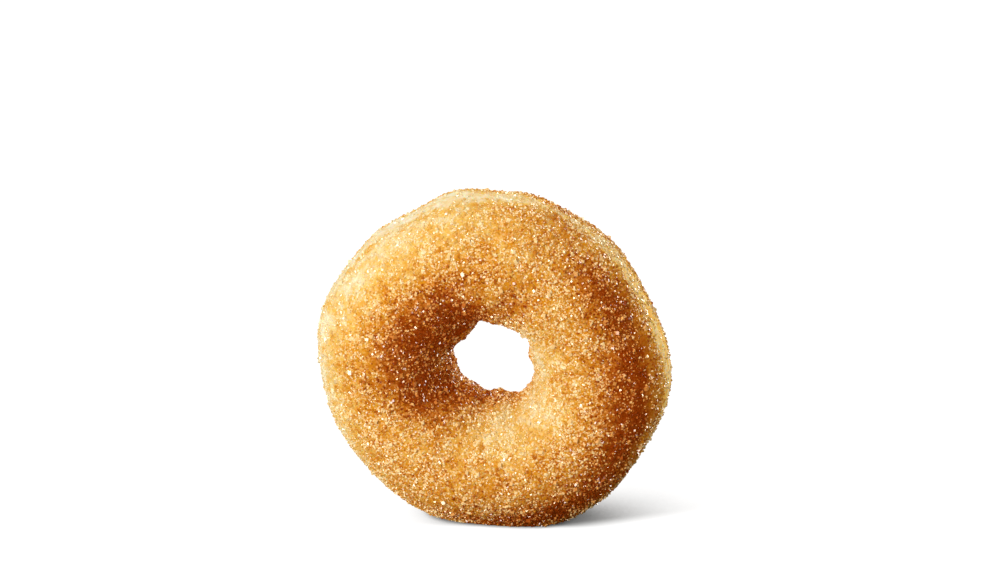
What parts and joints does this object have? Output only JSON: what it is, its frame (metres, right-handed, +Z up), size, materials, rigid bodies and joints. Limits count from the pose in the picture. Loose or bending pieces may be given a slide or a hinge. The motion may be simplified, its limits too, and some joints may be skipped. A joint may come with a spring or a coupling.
{
  "type": "sugared ring doughnut",
  "caption": "Fried ring doughnut coated in granulated sugar, with a pale waist round its rim, standing upright on a small flat spot.",
  "frame": {"origin": "on the surface that the doughnut stands on, under the middle of its hole", "axes": "+X along the width, to the right as seen from the front; +Y through the hole, towards the back; +Z up"},
  "size_m": [0.0884, 0.0366, 0.0844],
  "materials": {
    "crust": "golden brown fried crust, matt with a faint oily sheen, paler round the waist",
    "sugar": "clear to white sugar crystals that glint"
  },
  "bodies": {
    "root": {"doughnut": "crust"}
  },
  "joints": []
}
